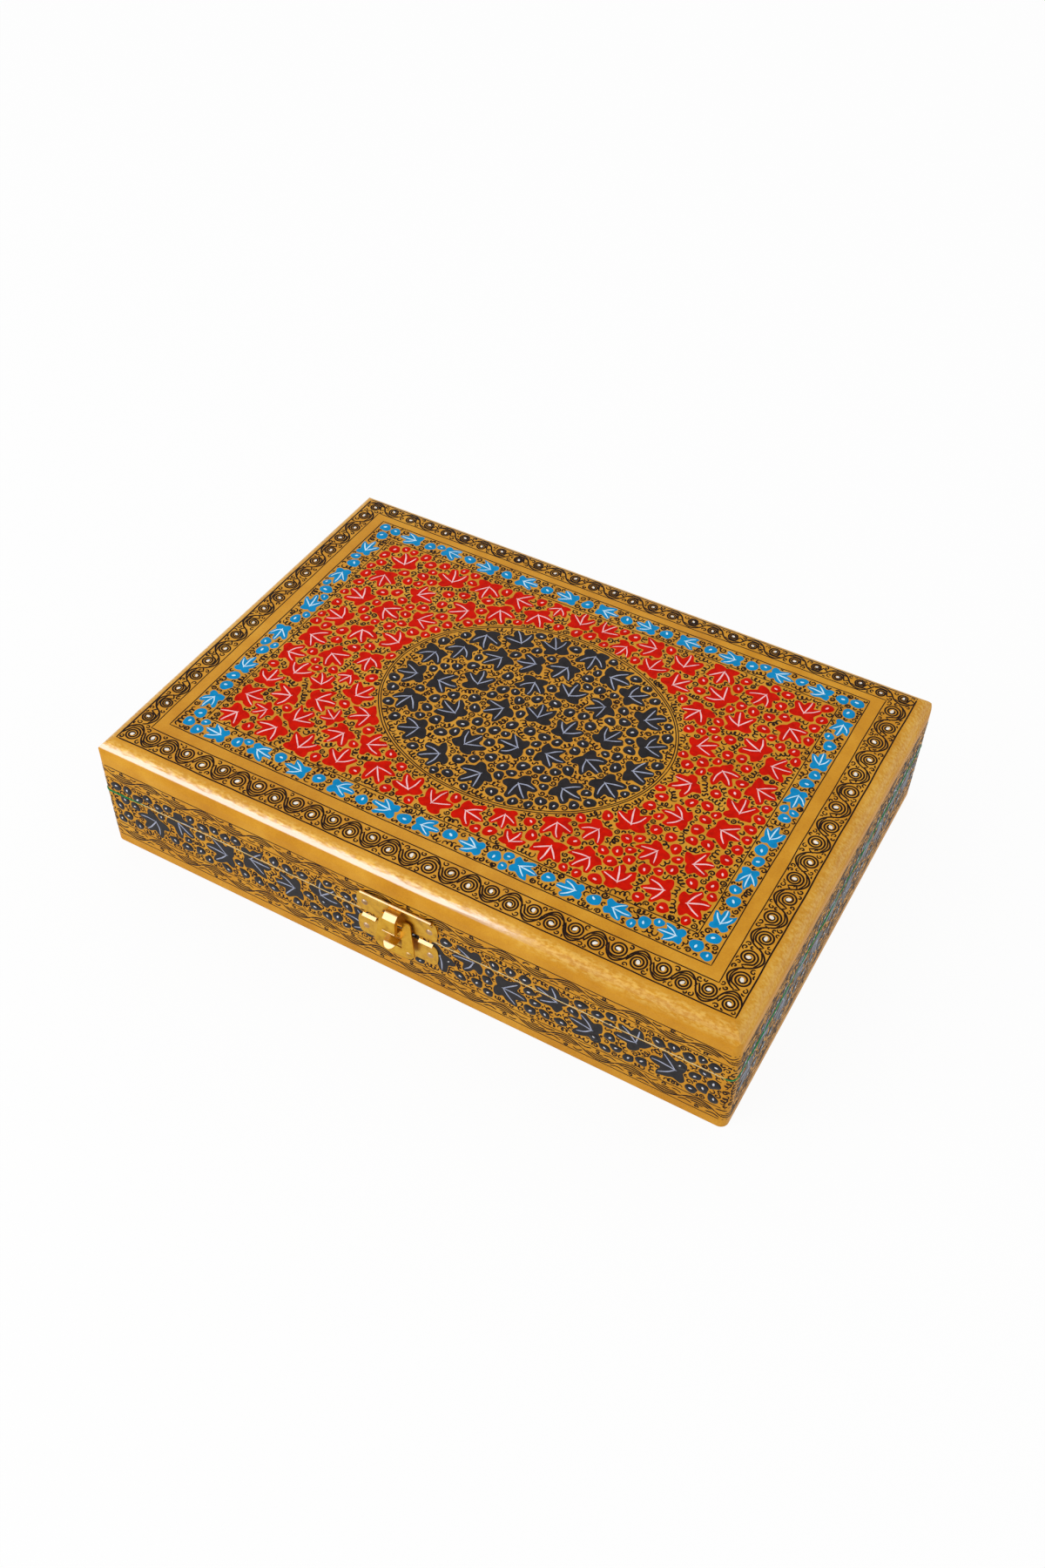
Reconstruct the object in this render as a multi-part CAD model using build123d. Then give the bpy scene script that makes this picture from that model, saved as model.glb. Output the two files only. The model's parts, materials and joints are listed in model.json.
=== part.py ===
from build123d import *
import os

# Papier mache keepsake box with a hinged lid, velvet lining, two rear butt
# hinges and a swinging brass hasp. Millimetres. X runs along the length, the
# front faces -Y, Z is up, and the origin is the middle of the underside.

# Carcass
box_length = 254.0
box_depth = 177.8
box_height = 50.8
wall = 6.0
floor_thickness = 5.0
top_thickness = 7.4
corner_radius = 3.0       # upright corners
top_round = 6.4           # rolled edge of the lid's top
base_rim = 27.1           # top of the base's walls

# Velvet lining
lining = 1.0
rim_lining = 0.4          # turned over the base's rim, seen in the seam
rim_inset = 0.2           # how far it stays inside the outer faces
seam_gap = 0.3            # air between the rim lining and the lid

# Rear butt hinges, nailed to the outside of the back walls
hinge_spacing = 144.0
leaf_length = 24.0
leaf_height = 8.0
leaf_sheet = 0.8
leaf_corner = 1.5
knuckle_radius = 1.4
knuckle_count = 3
hinge_pin_radius = 0.7
hinge_nail_spread = 14.0
wall_clearance = 0.1      # knuckle to back wall
leaf_clearance = 0.2      # knuckle to the other leaf's edge
end_play = 0.15           # between neighbouring knuckles
running_clearance = 0.05  # pin to bore, on the radius

# Nails
nail_radius = 0.5
nail_length = 5.0
nail_point = 1.2
nail_head_radius = 1.3
nail_head_height = 0.5
nail_fit = 0.02           # shank to hole, on the radius

# Latch: two nailed plates, a hasp hung from the upper one, a wire staple
latch_x = 1.4             # the latch sits a little right of the middle
latch_rise = 9.85         # the hasp's pin above the lid's rim
sheet = 0.5
plate_half_length = 15.4
plate_end_bulge = 0.9
plate_corner = 2.0
roll_half_length = 14.2   # rolled edges stop short of the plate's round ends
latch_play = 0.08         # hasp knuckle to its neighbours
latch_nail_spread = 26.0
barrel_radius = 0.75
latch_pin_radius = 0.35
lid_plate_lift = 0.2      # lower edge above the lid's rim
lid_nail_drop = 5.35      # below the pin, as are the next drops
plate_bead_drop = 1.35
plate_bead_radius = 0.4
base_plate_drop = 1.7     # upper edge below the base's rim
base_plate_height = 10.0
base_nail_drop = 5.7      # below the plate's upper edge
base_fold = ((0, -0.8), (0.5, -0.8), (1.2, -0.2), (0.2, 0.7), (0, 0.7))
fold_clearance = 0.75     # folded edge to the side of the hasp
tongue_half = 3.4         # middle of the base plate, behind the staple
tongue_drop = 0.2         # its top below the base's rim

# Hasp, drawn pressed home against the plates and then hung ajar. The drops
# are measured down from its pin.
hasp_ajar = 4.5           # degrees from home to how it hangs
hasp_gap = 0.25           # home position to the plates
strap_half = 2.5
strap_reach = 5.1         # how far the raised strap stands out
strap_flange = 1.4
strap_bead_radius = 0.4
bend_radius = 0.6
shelf_reach = 3.5
shelf_drop = 0.8
bevel_drop = 2.55
face_drop = 8.35
foot_drop = 9.55
rail_top_drop = 5.05
rail_top_half = 6.0
leaf_half = 7.9
leaf_wide_drop = 18.95
leaf_bottom_drop = 22.35
leaf_bottom_corner = 3.2
leaf_top_corner = 1.2
window_half = 2.9
slot_half = 2.2
slot_top_drop = 10.15
slot_bottom_drop = 13.1
lip_bar_drop = 14.0       # lower edge of the bar that carries the thumb lip
lip_window_drop = 18.25
lip_shelf_reach = 4.6
lip_shelf_fall = 0.6
lip_reach = 6.2
lip_fall = 2.6
lip_half = 2.5
dimple_radius = 1.1
dimple_height = 0.35
dimple_x = 5.6
dimple_drop = 20.05

# Wire staple that the hasp's slot passes over
staple_wire = 0.4
staple_half = 1.5
staple_drop = 1.5         # below the base's rim
staple_depth = 5.0        # leg length inside the front wall
staple_bend = 0.45
staple_gap = 0.3          # tip of the staple to the hanging hasp

half_length = box_length / 2
half_depth = box_depth / 2
lid_rim = base_rim + rim_lining + seam_gap
lid_ceiling = box_height - top_thickness
hinge_z = base_rim + (rim_lining + seam_gap) / 2
hinge_y = half_depth + knuckle_radius + wall_clearance
leaf_near = knuckle_radius + leaf_clearance
hinge_centres = (-hinge_spacing / 2, hinge_spacing / 2)
latch_z = lid_rim + latch_rise
lid_nail_z = latch_z - lid_nail_drop
plate_top = base_rim - base_plate_drop
base_nail_z = plate_top - base_nail_drop
staple_z = base_rim - staple_drop


def block(x0, x1, y0, y1, z0, z1):
    middle = ((x0 + x1) / 2, (y0 + y1) / 2, (z0 + z1) / 2)
    return Pos(*middle) * Box(x1 - x0, y1 - y0, z1 - z0)


def rod_x(radius, x0, x1, y, z):
    return Pos((x0 + x1) / 2, y, z) * Rot(0, 90, 0) * Cylinder(radius, x1 - x0)


def drill_y(radius, x, y0, y1, z):
    return Pos(x, (y0 + y1) / 2, z) * Rot(90, 0, 0) * Cylinder(radius, y1 - y0)


def long_wall(side, z0, z1):
    outer = side * half_depth
    inner = side * (half_depth - wall)
    board = block(-half_length, half_length, min(outer, inner), max(outer, inner), z0, z1)
    upright = board.edges().filter_by(Axis.Z).group_by(Axis.Y)
    return fillet(upright[0 if side < 0 else -1], corner_radius)


def end_wall(side, z0, z1):
    outer = side * half_length
    inner = side * (half_length - wall)
    inner_depth = half_depth - wall
    return block(min(outer, inner), max(outer, inner), -inner_depth, inner_depth, z0, z1)


def floor_panel():
    x = half_length - wall
    y = half_depth - wall
    return block(-x, x, -y, y, 0, floor_thickness)


def rolled_section(width):
    board = Rectangle(width, top_thickness)
    return fillet(board.vertices().group_by(Axis.Y)[-1], top_round)


def top_panel():
    along_y = extrude(Plane.XZ * rolled_section(box_length), half_depth, both=True)
    along_x = extrude(Plane.YZ * rolled_section(box_depth), half_length, both=True)
    outline = extrude(RectangleRounded(box_length, box_depth, corner_radius), top_thickness / 2, both=True)
    return Pos(0, 0, lid_ceiling + top_thickness / 2) * (along_y & along_x & outline)


def wall_linings(z0, z1):
    x = half_length - wall
    y = half_depth - wall
    inner_y = y - lining
    return [
        block(-x, x, -y, -inner_y, z0, z1),
        block(-x, x, inner_y, y, z0, z1),
        block(-x, lining - x, -inner_y, inner_y, z0, z1),
        block(x - lining, x, -inner_y, inner_y, z0, z1),
    ]


def flat_lining(z0):
    x = half_length - wall
    y = half_depth - wall
    return block(-x, x, -y, y, z0, z0 + lining)


def rim_strip():
    outside = RectangleRounded(
        box_length - 2 * rim_inset, box_depth - 2 * rim_inset, corner_radius - rim_inset
    )
    inside = Rectangle(box_length - 2 * wall, box_depth - 2 * wall)
    return Pos(0, 0, base_rim) * extrude(outside - inside, rim_lining)


def cap(radius, height):
    """Domed cap that stands on the XY plane."""
    ball = (radius**2 + height**2) / (2 * height)
    above = block(-ball, ball, -ball, ball, 0, height)
    return Pos(0, 0, height - ball) * Sphere(ball) & above


def nail():
    straight = nail_length - nail_point
    shank = Pos(0, 0, -straight / 2) * Cylinder(nail_radius, straight)
    point = Pos(0, 0, -straight - nail_point / 2) * Cone(nail_radius / 4, nail_radius, nail_point)
    return cap(nail_head_radius, nail_head_height) + shank + point


def front_nail(x, z):
    return Pos(x, -half_depth - sheet, z) * Rot(90, 0, 0) * nail()


def back_nail(x, z):
    return Pos(x, half_depth + leaf_sheet, z) * Rot(-90, 0, 0) * nail()


def nail_hole(x, side, z):
    """Hole from the plate or leaf into the wall: side is -1 in front, 1 behind."""
    cover = leaf_sheet if side > 0 else sheet
    inner = side * (half_depth + cover - nail_length - nail_fit)
    outer = side * (half_depth + cover + nail_head_height)
    return drill_y(nail_radius + nail_fit, x, min(inner, outer), max(inner, outer), z)


def latch_nail_places(z):
    return [(latch_x + side * latch_nail_spread / 2, z) for side in (-1, 1)]


def hinge_nail_places(up):
    z = hinge_z + up * (leaf_near + leaf_height / 2)
    offsets = (-hinge_nail_spread / 2, hinge_nail_spread / 2)
    return [(centre + offset, z) for centre in hinge_centres for offset in offsets]


def drilled(board, side, places):
    for x, z in places:
        board -= nail_hole(x, side, z)
    return board


def hinge_leaf(centre, up, knuckles):
    """One leaf: up is 1 on the lid and -1 on the base."""
    near = hinge_z + up * leaf_near
    far = near + up * leaf_height
    x0 = centre - leaf_length / 2
    x1 = centre + leaf_length / 2
    outer = half_depth + leaf_sheet
    leaf = block(x0, x1, half_depth, outer, min(near, far), max(near, far))
    corners = leaf.edges().filter_by(Axis.Y).group_by(Axis.Z)
    leaf = fillet(corners[-1 if up > 0 else 0], leaf_corner)
    pitch = leaf_length / knuckle_count
    for index in knuckles:
        start = x0 + index * pitch + (end_play / 2 if index else 0)
        end = x0 + (index + 1) * pitch - (end_play / 2 if index < knuckle_count - 1 else 0)
        leaf += block(start, end, half_depth, outer, min(near, hinge_z), max(near, hinge_z))
        leaf += rod_x(knuckle_radius, start, end, hinge_y, hinge_z)
    leaf -= rod_x(hinge_pin_radius + running_clearance, x0, x1, hinge_y, hinge_z)
    for x, z in hinge_nail_places(up):
        if x0 < x < x1:
            leaf -= nail_hole(x, 1, z)
    return leaf


def hinge_pin(centre):
    return rod_x(hinge_pin_radius, centre - leaf_length / 2, centre + leaf_length / 2, hinge_y, hinge_z)


def front(reach):
    """Y of a point that stands out from the front wall by reach."""
    return -half_depth - reach


def latch_plate(z0, z1):
    ends = [
        ThreePointArc(
            (side * plate_half_length, z0),
            (side * (plate_half_length + plate_end_bulge), (z0 + z1) / 2),
            (side * plate_half_length, z1),
        )
        for side in (-1, 1)
    ]
    rims = [Line((-plate_half_length, z), (plate_half_length, z)) for z in (z0, z1)]
    outline = make_face(ends + rims)
    outline = fillet(outline.vertices(), plate_corner)
    face = Plane(origin=(latch_x, front(0), 0), x_dir=(1, 0, 0), z_dir=(0, -1, 0)) * outline
    return extrude(face, sheet)


def latch_rod(radius, x0, x1, reach, z):
    return rod_x(radius, latch_x + x0, latch_x + x1, front(reach), z)


def latch_block(half, reach0, reach1, z0, z1):
    return block(latch_x - half, latch_x + half, front(reach1), front(reach0), z0, z1)


def lid_plate():
    plate = latch_plate(lid_rim + lid_plate_lift, latch_z)
    notch_half = strap_half + latch_play
    notch_bottom = latch_z - shelf_drop - sheet / 2 - hasp_gap
    plate -= latch_block(notch_half, 0, sheet, notch_bottom, latch_z)
    for side in (-1, 1):
        near = side * notch_half
        far = side * roll_half_length
        low, high = min(near, far), max(near, far)
        plate += latch_rod(barrel_radius, low, high, barrel_radius, latch_z)
        plate += latch_rod(plate_bead_radius, low, high, sheet, latch_z - plate_bead_drop)
    bore = latch_pin_radius + running_clearance
    plate -= latch_rod(bore, -roll_half_length, roll_half_length, barrel_radius, latch_z)
    return drilled(plate, -1, latch_nail_places(lid_nail_z))


def folded_edge(x0, x1):
    """Upper edge of the base plate, folded outwards into a sloping lip."""
    section = Polyline(*[(front(reach), plate_top + up) for reach, up in base_fold], close=True)
    fold = extrude(Plane.YZ * make_face(section), (x1 - x0) / 2, both=True)
    return Pos(latch_x + (x0 + x1) / 2, 0, 0) * fold


def base_plate():
    bottom = plate_top - base_plate_height
    plate = latch_plate(bottom, plate_top)
    plate += latch_block(tongue_half, 0, sheet, bottom, base_rim - tongue_drop)
    fold_start = leaf_half + fold_clearance
    plate += folded_edge(-roll_half_length, -fold_start) + folded_edge(fold_start, roll_half_length)
    for side in (-1, 1):
        plate -= staple_hole(side)
    return drilled(plate, -1, latch_nail_places(base_nail_z))


def staple_reach():
    """How far the staple stands out, so that the hanging hasp just clears it."""
    ajar = Vector(hasp_gap + sheet - barrel_radius, staple_z - latch_z).rotate(Axis.Z, hasp_ajar)
    return barrel_radius + ajar.X - staple_gap


def staple_hole(side):
    x = latch_x + side * staple_half
    return drill_y(staple_wire + nail_fit, x, front(sheet), front(-staple_depth - nail_fit), staple_z)


def staple():
    bridge = front(staple_reach() - staple_wire)
    inside = front(-staple_depth)
    left = latch_x - staple_half
    right = latch_x + staple_half
    wire = FilletPolyline((left, inside), (left, bridge), (right, bridge), (right, inside), radius=staple_bend)
    section = Plane(origin=(left, inside, 0), z_dir=(0, -1, 0)) * Circle(staple_wire)
    return Pos(0, 0, staple_z) * sweep(section, path=wire)


def bent_sheet(points, half):
    """A strip of sheet bent along points of (reach, drop), half wide each side."""
    path = FilletPolyline(*[(front(reach), latch_z - drop) for reach, drop in points], radius=bend_radius)
    strip = extrude(Plane.YZ * trace(path, sheet), half, both=True)
    return Pos(latch_x, 0, 0) * strip


def hasp_leaf():
    outline = make_face(
        Polyline(
            (-rail_top_half, -rail_top_drop),
            (-leaf_half, -leaf_wide_drop),
            (-leaf_half, -leaf_bottom_drop),
            (leaf_half, -leaf_bottom_drop),
            (leaf_half, -leaf_wide_drop),
            (rail_top_half, -rail_top_drop),
            close=True,
        )
    )
    outline = fillet(outline.vertices().group_by(Axis.Y)[0], leaf_bottom_corner)
    outline = fillet(outline.vertices().group_by(Axis.Y)[-1], leaf_top_corner)
    windows = (
        (window_half, slot_top_drop - sheet, rail_top_drop - sheet),
        (slot_half, slot_bottom_drop, slot_top_drop),
        (window_half, lip_window_drop, lip_bar_drop),
    )
    for half, bottom, top in windows:
        outline -= Pos(0, -(bottom + top) / 2) * Rectangle(2 * half, bottom - top)
    back = (latch_x, front(hasp_gap + sheet), latch_z)
    return extrude(Plane(origin=back, x_dir=(1, 0, 0), z_dir=(0, -1, 0)) * outline, sheet)


def plan_of_lip():
    """Half-round outline that the thumb lip is cut to, seen from above."""
    centre = front(lip_reach - lip_half)
    straight = Pos(0, (centre + front(0)) / 2) * Rectangle(2 * lip_half, front(0) - centre)
    return Pos(latch_x, 0, 0) * extrude(straight + Pos(0, centre) * Circle(lip_half), box_height)


def thumb_lip(leaf_middle):
    start = (lip_bar_drop + slot_bottom_drop) / 2
    edge = start + lip_shelf_fall
    bend = [(leaf_middle, start), (lip_shelf_reach, edge), (lip_reach + sheet, start + lip_fall)]
    return bent_sheet(bend, lip_half) & plan_of_lip()


def raised_strap(leaf_middle):
    bends = [
        (barrel_radius, shelf_drop),
        (shelf_reach, shelf_drop),
        (strap_reach, bevel_drop),
        (strap_reach, face_drop),
        (leaf_middle, foot_drop),
    ]
    strap = bent_sheet(bends, strap_half)
    back = strap_reach - strap_flange
    for side in (-1, 1):
        flange = latch_block(sheet / 2, back, strap_reach, latch_z - face_drop, latch_z - bevel_drop)
        strap += Pos(side * (strap_half - sheet / 2), 0, 0) * flange
    return strap + latch_rod(strap_bead_radius, -strap_half, strap_half, strap_reach, latch_z - face_drop)


def dimple():
    place = Pos(latch_x + dimple_x, front(hasp_gap + 2 * sheet), latch_z - dimple_drop)
    return place * Rot(90, 0, 0) * cap(dimple_radius, dimple_height)


def hasp():
    leaf_middle = hasp_gap + 1.5 * sheet
    body = hasp_leaf() + raised_strap(leaf_middle) + thumb_lip(leaf_middle) + dimple()
    body += latch_rod(barrel_radius, -strap_half, strap_half, barrel_radius, latch_z)
    bore = latch_pin_radius + running_clearance
    body -= latch_rod(bore, -strap_half, strap_half, barrel_radius, latch_z)
    pin = Pos(0, front(barrel_radius), latch_z)
    return pin * Rot(-hasp_ajar, 0, 0) * pin.inverse() * body


def latch_pin():
    return latch_rod(latch_pin_radius, -roll_half_length, roll_half_length, barrel_radius, latch_z)


def base_nodes():
    front_nails = latch_nail_places(base_nail_z)
    back_nails = hinge_nail_places(-1)
    front_wall = drilled(long_wall(-1, 0, base_rim), -1, front_nails)
    for side in (-1, 1):
        front_wall -= staple_hole(side)
    nodes = {
        "base_front_wall": front_wall,
        "base_back_wall": drilled(long_wall(1, 0, base_rim), 1, back_nails),
        "base_left_wall": end_wall(-1, 0, base_rim),
        "base_right_wall": end_wall(1, 0, base_rim),
        "base_floor": floor_panel(),
        "base_floor_lining": flat_lining(floor_thickness),
        "base_wall_lining": Compound(wall_linings(floor_thickness + lining, base_rim)),
        "base_rim_lining": rim_strip(),
        "latch_base_plate": base_plate(),
        "latch_staple": staple(),
        "latch_base_nails": Compound([front_nail(x, z) for x, z in front_nails]),
        "hinge_base_nails": Compound([back_nail(x, z) for x, z in back_nails]),
    }
    outer_knuckles = range(0, knuckle_count, 2)
    for name, centre in zip(("left", "right"), hinge_centres):
        nodes[f"hinge_{name}_base_leaf"] = hinge_leaf(centre, -1, outer_knuckles)
        nodes[f"hinge_{name}_pin"] = hinge_pin(centre)
    return nodes


def lid_nodes():
    front_nails = latch_nail_places(lid_nail_z)
    back_nails = hinge_nail_places(1)
    nodes = {
        "lid_top_panel": top_panel(),
        "lid_front_wall": drilled(long_wall(-1, lid_rim, lid_ceiling), -1, front_nails),
        "lid_back_wall": drilled(long_wall(1, lid_rim, lid_ceiling), 1, back_nails),
        "lid_left_wall": end_wall(-1, lid_rim, lid_ceiling),
        "lid_right_wall": end_wall(1, lid_rim, lid_ceiling),
        "lid_top_lining": flat_lining(lid_ceiling - lining),
        "lid_wall_lining": Compound(wall_linings(lid_rim, lid_ceiling - lining)),
        "latch_lid_plate": lid_plate(),
        "latch_pin": latch_pin(),
        "latch_lid_nails": Compound([front_nail(x, z) for x, z in front_nails]),
        "hinge_lid_nails": Compound([back_nail(x, z) for x, z in back_nails]),
    }
    inner_knuckles = range(1, knuckle_count, 2)
    for name, centre in zip(("left", "right"), hinge_centres):
        nodes[f"hinge_{name}_lid_leaf"] = hinge_leaf(centre, 1, inner_knuckles)
    return nodes


os.makedirs("parts", exist_ok=True)
for name, shape in {**base_nodes(), **lid_nodes(), "latch_hasp": hasp()}.items():
    export_step(shape, f"parts/{name}.step")
    print(name, round(shape.volume, 1))
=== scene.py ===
import json
import math
from functools import partial
import bpy
import bmesh
import numpy as np
from mathutils import Matrix, Vector


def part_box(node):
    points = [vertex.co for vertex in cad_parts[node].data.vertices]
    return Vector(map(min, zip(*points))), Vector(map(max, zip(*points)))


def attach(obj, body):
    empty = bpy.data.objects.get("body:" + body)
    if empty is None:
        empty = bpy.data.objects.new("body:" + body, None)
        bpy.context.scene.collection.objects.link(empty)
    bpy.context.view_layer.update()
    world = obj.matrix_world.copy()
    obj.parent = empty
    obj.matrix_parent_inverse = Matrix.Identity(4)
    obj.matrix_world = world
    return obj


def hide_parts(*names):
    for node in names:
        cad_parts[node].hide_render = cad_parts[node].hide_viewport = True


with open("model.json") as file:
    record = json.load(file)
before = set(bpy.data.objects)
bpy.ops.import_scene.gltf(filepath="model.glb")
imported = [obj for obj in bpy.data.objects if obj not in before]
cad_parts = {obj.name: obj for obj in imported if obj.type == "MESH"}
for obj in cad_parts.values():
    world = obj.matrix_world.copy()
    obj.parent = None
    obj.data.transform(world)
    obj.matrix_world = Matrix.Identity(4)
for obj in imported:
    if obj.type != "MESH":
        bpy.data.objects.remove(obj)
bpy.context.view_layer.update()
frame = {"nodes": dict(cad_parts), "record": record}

mm = 0.001
nodes = frame["nodes"]
random = np.random.default_rng(41)
pick = random.uniform


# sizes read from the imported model, in mm
def nodeBox(name):
    low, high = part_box(name)
    return np.array(low) / mm, np.array(high) / mm


halfLength, halfDepth, height = [float(size) for size in nodeBox("lid_top_panel")[1]]
baseRim = float(nodeBox("base_front_wall")[1][2])
lidRim = float(nodeBox("lid_front_wall")[0][2])
topRound = 6.4        # mm, rolled edge of the lid
cornerRadius = 3.0    # mm, upright corners
scene = bpy.context.scene


# colour and nodes
def linear(hexColour):
    channels = [int(hexColour[i:i + 2], 16) / 255 for i in (1, 3, 5)]
    return tuple(c / 12.92 if c <= 0.04045 else ((c + 0.055) / 1.055) ** 2.4 for c in channels) + (1.0,)


def addNode(tree, kind, settings=None, links=None):
    # settings hold inputs by name or number, attributes, or a colour ramp's stops, each a place and
    # a hex colour or grey; a link from a node takes its first output
    node = tree.nodes.new("ShaderNode" + kind)
    node.location = (200 * len(tree.nodes), 0)
    for key, value in (settings or {}).items():
        if key == "stops":
            elements, stops = node.color_ramp.elements, list(value)
            while len(elements) < len(stops):
                elements.new(0.5)
            for element, (position, colour) in zip(elements, stops):
                element.position = position
                element.color = linear(colour) if isinstance(colour, str) else (colour,) * 3 + (1,)
        elif isinstance(key, int) or key in node.inputs:
            node.inputs[key].default_value = value
        else:
            setattr(node, key, value)
    for key, source in (links or {}).items():
        socket = source if isinstance(source, bpy.types.NodeSocket) else source.outputs[0]
        tree.links.new(socket, node.inputs[key])
    return node


def startMaterial(name):
    material = bpy.data.materials.new(name)
    material.use_nodes = True
    material.node_tree.nodes.clear()
    return material, partial(addNode, material.node_tree)


# the painter's colours: darkest, usual and, for the gold, lightest
palette = {
    "gold": ("#c28320", "#cd8f27", "#d79c33"),
    "ink": ("#170a07", "#25120c"),
    "red": ("#b60e00", "#cf1400"),
    "blue": ("#007cb2", "#008ac4"),
    "black": ("#171416", "#231f21"),
    "pink": ("#eab4b6", "#f6cfd0"),
    "paleBlue": ("#b9dff4", "#d8effb"),
    "grey": ("#9096ac", "#a9aec2"),
    "white": ("#dcd6cc", "#f2efe8"),
}


varnish = {
    "cloud": 14,              # slow drift of the gold's tone, mm
    "grain": 0.5,             # bronze powder, drawn as coarse as it needs to show, mm
    "grainMix": 0.2,
    "streak": (0.8, 4.5),     # width and length of the brush marks, mm
    "dragged": 0.9,           # their bump where the coat was dragged out thin
    "levelled": 0.74,         # upright part of the surface normal where it starts to thin
    "dragStart": 30.0,        # mm right of the middle
    "dragFade": 22,           # and over how many mm it runs out
    "leftOver": 0.12,         # what stays of it at the far right
    "ragged": 0.36,           # how unevenly the pooled varnish ends
    # upright part of the surface normal and how much varnish lies there
    "pool": ((0.71, 1.0), (0.76, 0.5), (0.82, 0.12), (0.88, 0.03)),
    "foot": 0.52,             # and where its straight lower edge lies
    "pit": 0.9,               # size of the bare powder's pits, mm
    "pitStretch": 0.45,
    "powder": (0.045, 0.48),  # least and most bronze powder that lies bare to the light, and how much of the paler painted-highlight gold is mixed in there
    "bareGoldAndHighlight": "#e8c56c",      # a paler gold there: partly the bare powder's own colour, partly a painted highlight
    # and where it lies bare and is painted paler as a highlight, above the pooled varnish and below where
    # that ran out
    "above": ((0.7, 0.0), (0.78, 1.0), (0.9, 1.0), (0.99, 0.0)),
    "below": ((0.2, 0.0), (0.4, 1.0), (0.78, 1.0), (0.9, 0.0)),
}


def goldLacquer():
    # bronze-powder paint brushed over gesso, under clear varnish: an even warm ochre gold; along the
    # front rolled edge the pooled varnish gives one crisp bright band, and where it was dragged out
    # thin the powder lies bare and granular, painted a paler gold there that is partly a painted highlight
    v = varnish
    material, add = startMaterial("gold_bronze_paint_varnished")
    texture = add("TexCoord")
    coords = texture.outputs["Object"]
    upright = add("SeparateXYZ", None, {0: texture.outputs["Normal"]}).outputs["Z"]
    rightward = add("SeparateXYZ", None, {0: coords}).outputs["X"]

    cloud = add("TexNoise", {"Scale": 1 / (v["cloud"] * mm), "Detail": 4, "Roughness": 0.55},
                {"Vector": coords})
    colour = add("ValToRGB", {"stops": zip((0.3, 0.52, 0.75), palette["gold"])}, {"Fac": cloud})
    grain = add("TexNoise", {"Scale": 1 / (v["grain"] * mm), "Detail": 2, "Roughness": 0.6},
                {"Vector": coords})
    flecks = add("Mix", {"data_type": "RGBA", "blend_type": "OVERLAY", 0: v["grainMix"]},
                 {6: colour, 7: grain})

    # brush marks in the varnish, where it is thin
    across, along = v["streak"]
    brushed = add("Mapping", {"Scale": (across / along, 1, 1)}, {"Vector": coords})
    streak = add("TexNoise", {"Scale": 1 / (across * mm), "Detail": 3, "Roughness": 0.6},
                 {"Vector": brushed})
    thinTop = add("MapRange",
                  {"From Min": v["levelled"], "From Max": v["levelled"] + 0.1, "To Max": v["dragged"]},
                  {"Value": upright})
    thinEnd = add("MapRange",
                  {"From Min": v["dragStart"] * mm, "To Max": v["dragged"],
                   "From Max": (v["dragStart"] + v["dragFade"]) * mm},
                  {"Value": rightward})
    thin = add("Math", {"operation": "MAXIMUM"}, {0: thinTop, 1: thinEnd})
    brushMarks = add("Bump", {"Distance": 0.25 * mm}, {"Height": streak, "Strength": thin})

    # the pooled band: ragged above, straight at its foot, running out to the right
    centred = add("Math", {"operation": "SUBTRACT", 1: 0.5 * v["ragged"]}, {0: upright})
    ragged = add("Math", {"operation": "MULTIPLY_ADD", 1: v["ragged"]}, {0: streak, 2: centred})
    pool = add("ValToRGB", {"stops": v["pool"]}, {"Fac": ragged})
    foot = add("MapRange", {"From Min": v["foot"], "From Max": v["foot"] + 0.05}, {"Value": upright})
    kept = add("MapRange",
               {"From Min": (v["dragStart"] + 4) * mm, "To Min": 1.0, "To Max": v["leftOver"],
                "From Max": (v["dragStart"] + 4 + v["dragFade"]) * mm},
               {"Value": rightward})
    cut = add("Math", {"operation": "MULTIPLY"}, {0: pool, 1: foot})
    band = add("Math", {"operation": "MULTIPLY"}, {0: cut, 1: kept})

    # bare powder, its colour lightened there as a painted highlight
    above, below = [add("ValToRGB", {"stops": v[part]}, {"Fac": upright}) for part in ("above", "below")]
    gone = add("Math", {"operation": "SUBTRACT", 0: 1.0}, {1: kept})
    lower = add("Math", {"operation": "MULTIPLY"}, {0: gone, 1: below})
    rolled = add("Math", {"operation": "MAXIMUM"}, {0: above, 1: lower})
    dry = add("Mapping", {"Scale": (v["pitStretch"], 1, 1)}, {"Vector": coords})
    pits = add("TexNoise", {"Scale": 1 / (v["pit"] * mm), "Detail": 2, "Roughness": 0.6}, {"Vector": dry})
    bare = add("MapRange",
               {"From Min": 0.4, "From Max": 0.62, "To Min": v["powder"][0], "To Max": v["powder"][1]},
               {"Value": pits})
    powder = add("Math", {"operation": "MULTIPLY"}, {0: bare, 1: rolled})
    # paler gold where the surface's upright part puts the bare powder on the rolled edge: partly its own
    # colour, partly a painted highlight of the sparkle
    bareGoldAndHighlight = add("Mix", {"data_type": "RGBA", 7: linear(v["bareGoldAndHighlight"])}, {0: powder, 6: flecks.outputs[2]})
    pitted = add("Bump", {"Distance": 0.2 * mm}, {"Height": pits, "Strength": powder})
    fine = add("Bump", {"Strength": 0.25, "Distance": 0.05 * mm}, {"Height": grain, "Normal": pitted})
    shader = add("BsdfPrincipled",
                 {"Roughness": 0.42, "IOR": 1.5, "Specular IOR Level": 0.06, "Coat Roughness": 0.03,
                  "Coat IOR": 3.0},
                 {"Base Color": bareGoldAndHighlight.outputs[2], "Metallic": powder, "Normal": fine,
                  "Coat Weight": band, "Coat Normal": brushMarks})
    add("OutputMaterial", None, {"Surface": shader})
    return material


pigmentMarks = {"thin": 2.4, "bristle": 0.7}   # mm, where the brush ran thin, and its bristles


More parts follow.
